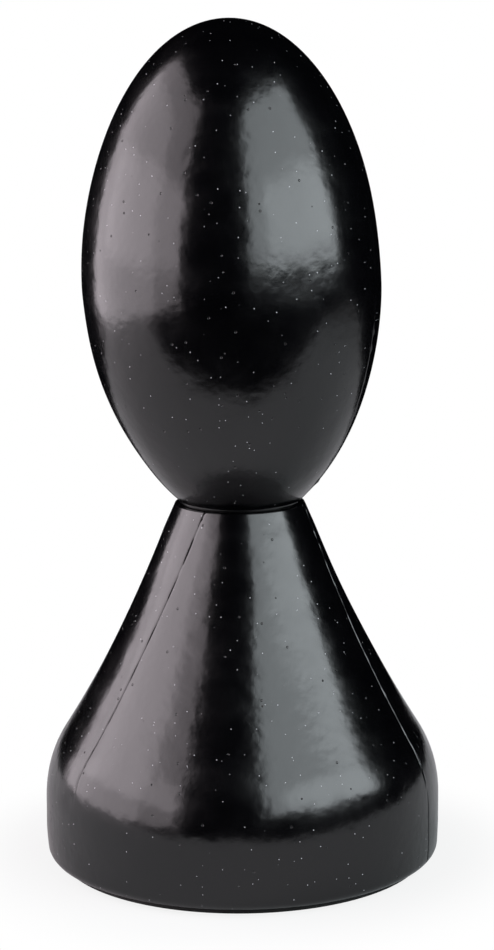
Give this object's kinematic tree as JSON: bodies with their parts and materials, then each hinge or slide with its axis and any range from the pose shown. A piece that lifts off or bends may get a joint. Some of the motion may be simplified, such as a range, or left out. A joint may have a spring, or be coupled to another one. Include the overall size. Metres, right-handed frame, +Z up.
{
  "type": "giant chess pawn",
  "caption": "Giant garden chess pawn in gloss black plastic: hollow egg-shaped head screwed into a flared base, with a bottom plate, a filler cap and sand ballast.",
  "frame": {"origin": "middle of the foot ring's tread, on the ground", "axes": "+Z up along the piece's own axis; X and Y level, with two of the plate screws on the X axis"},
  "size_m": [0.203, 0.203, 0.43],
  "materials": {
    "black_moulded_plastic": "gloss",
    "grey_moulded_plastic": "satin",
    "black_rubber": "matte",
    "zinc_plated_steel": "satin",
    "dry_sand": "matte"
  },
  "bodies": {
    "base": {"base_shell": "black_moulded_plastic", "neck_socket": "grey_moulded_plastic", "base_plate": "grey_moulded_plastic", "plate_gasket": "black_rubber", "plate_screws": "zinc_plated_steel", "foot_ring": "black_rubber", "sand_fill": "dry_sand"},
    "neck_seal_carrier": {"neck_seal": "black_rubber"},
    "head": {"head_shell": "black_moulded_plastic", "head_spigot": "grey_moulded_plastic"},
    "filler_seal_carrier": {"filler_seal": "black_rubber"},
    "cap": {"filler_cap": "grey_moulded_plastic"}
  },
  "joints": [
    {"name": "head_rise", "type": "slide", "parent": "base", "child": "neck_seal_carrier", "axis": [0, 0, 1], "range_m": [0, 0.0161]},
    {"name": "head_screw", "type": "hinge", "parent": "neck_seal_carrier", "child": "head", "pos_m": [0, 0, 0.1865], "axis": [0, 0, 1], "range_deg": [0, 720]},
    {"name": "cap_drop", "type": "slide", "parent": "base", "child": "filler_seal_carrier", "axis": [0, 0, -1], "range_m": [0, 0.0126]},
    {"name": "cap_screw", "type": "hinge", "parent": "filler_seal_carrier", "child": "cap", "pos_m": [0, 0, 0.0255], "axis": [0, 0, -1], "range_deg": [0, 900]}
  ],
  "couplings": [
    {"joint": "head_rise", "follows": "head_screw", "m_per_rad": 0.0012732},
    {"joint": "cap_drop", "follows": "cap_screw", "m_per_rad": 0.00079577}
  ]
}
